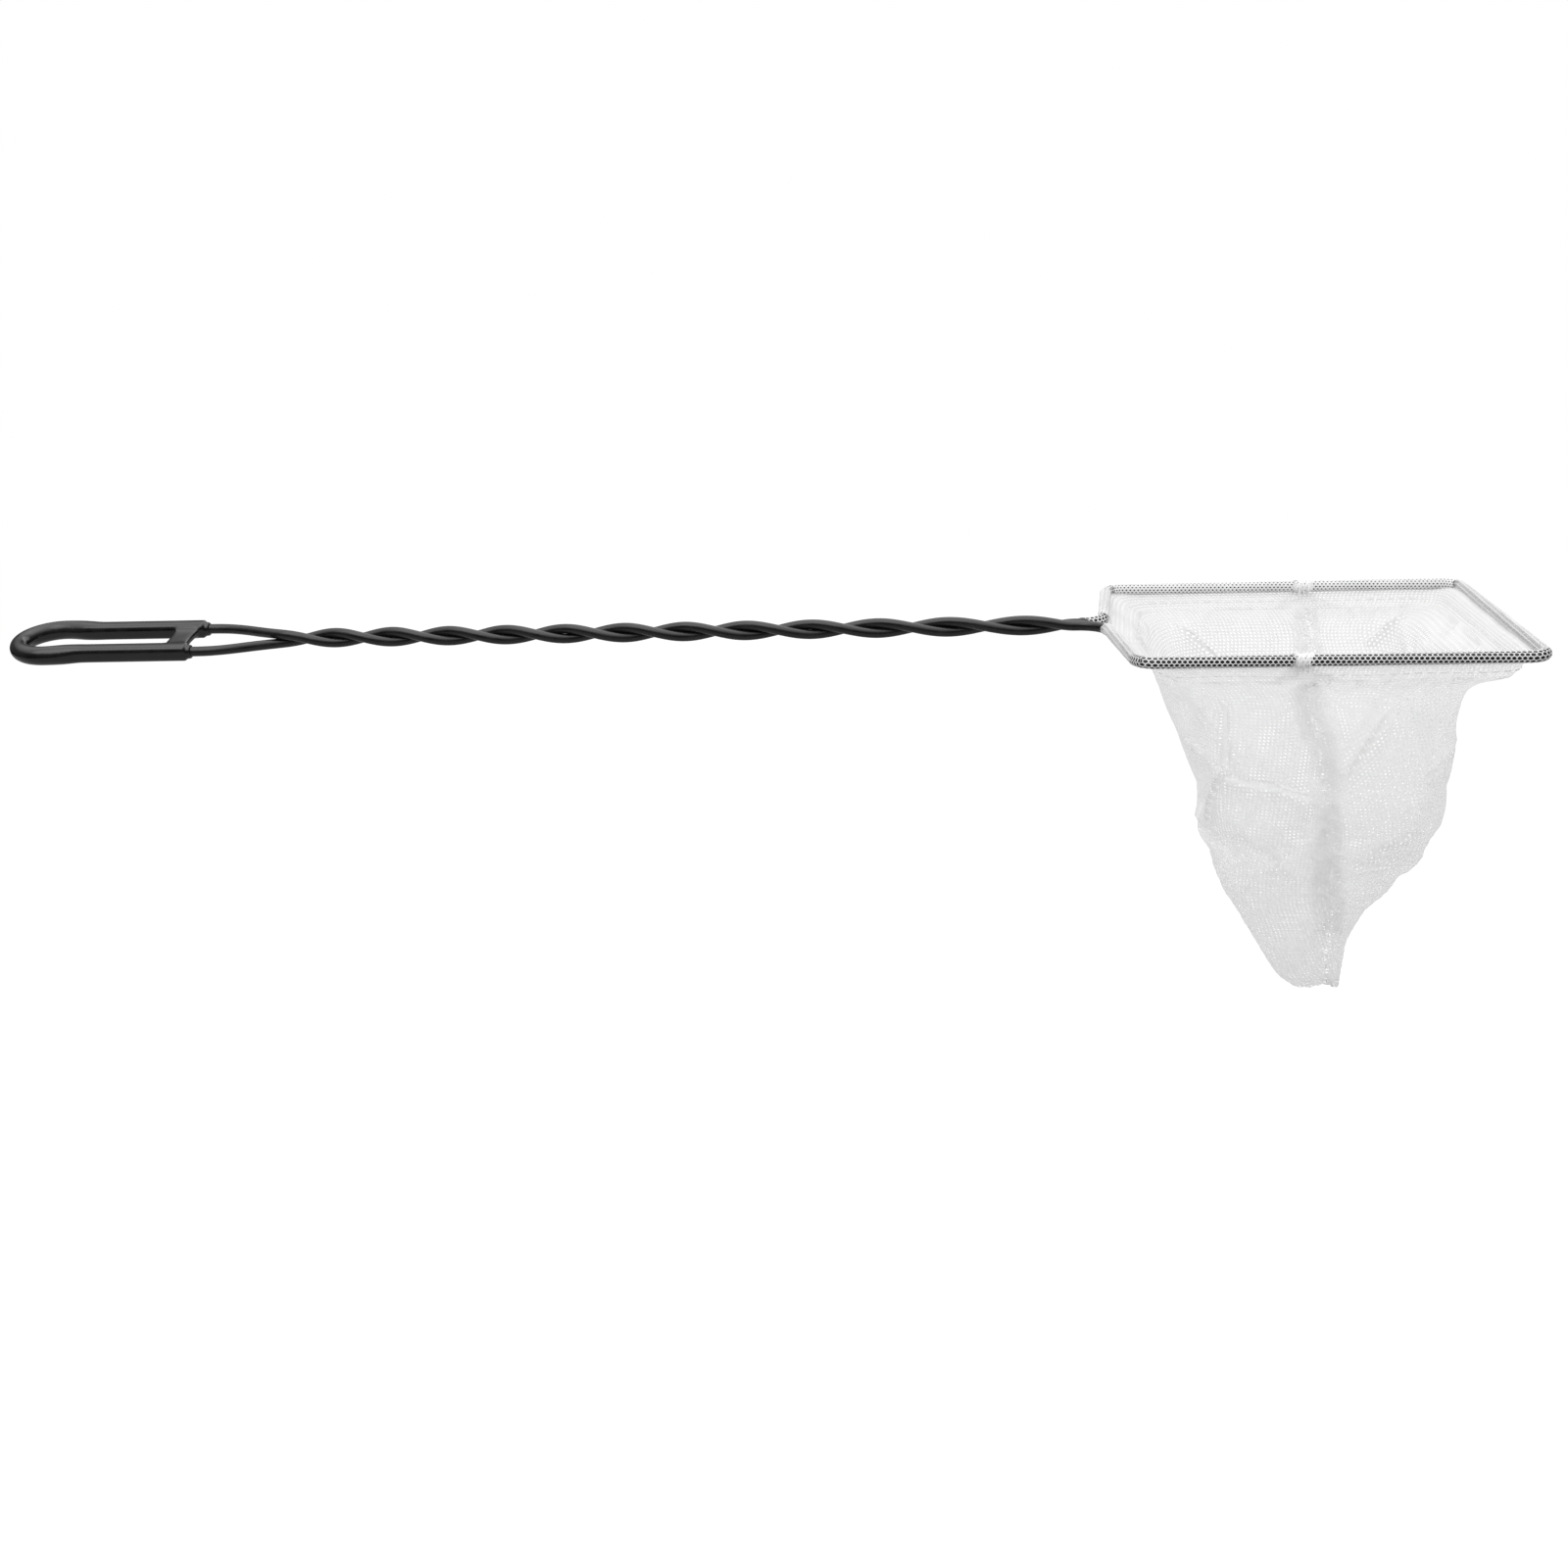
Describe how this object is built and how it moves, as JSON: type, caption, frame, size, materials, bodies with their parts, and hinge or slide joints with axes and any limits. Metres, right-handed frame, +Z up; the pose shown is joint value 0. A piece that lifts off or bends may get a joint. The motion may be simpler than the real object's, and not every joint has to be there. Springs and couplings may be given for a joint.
{
  "type": "aquarium fish net",
  "caption": "Hand net with a moulded loop grip, a handle of two twisted coated wires that open into a rectangular hoop, and a sewn mesh bag hung from the hoop by a hem.",
  "frame": {"origin": "centre of the round end of the grip's hanging loop, on the handle's axis, in the plane of the hoop", "axes": "+X along the handle from the grip to the hoop's tip, +Y across the hoop towards its back bar, +Z up, so the bag hangs towards -Z"},
  "size_m": [0.4077, 0.0918, 0.1101],
  "materials": {
    "steel_core": "bright drawn wire",
    "wire_coating": "satin black plastic coating",
    "grip_plastic": "satin black moulding",
    "net": "white knitted nylon mesh",
    "thread": "white sewing thread"
  },
  "bodies": {
    "frame": {"grip": "grip_plastic", "near_strand_core": "steel_core", "near_strand_coating": "wire_coating", "far_strand_core": "steel_core", "far_strand_coating": "wire_coating", "hoop_core": "steel_core", "hoop_coating": "wire_coating", "handle_side_hem": "net", "tip_side_hem": "net", "handle_side_hem_stitching": "thread", "tip_side_hem_stitching": "thread", "front_hem_tack": "thread", "back_hem_tack": "thread"},
    "bag": {"handle_side_panel": "net", "tip_side_panel": "net", "front_seam_allowance": "net", "back_seam_allowance": "net", "front_seam_stitching": "thread", "back_seam_stitching": "thread"}
  },
  "joints": [
    {"name": "bag_swing", "type": "hinge", "parent": "frame", "child": "bag", "pos_m": [0.3447, 0, 0], "axis": [0, 1, 0], "range_deg": [-20, 20], "deforming": ["handle_side_panel", "tip_side_panel", "front_seam_allowance", "back_seam_allowance", "front_seam_stitching", "back_seam_stitching"]}
  ]
}
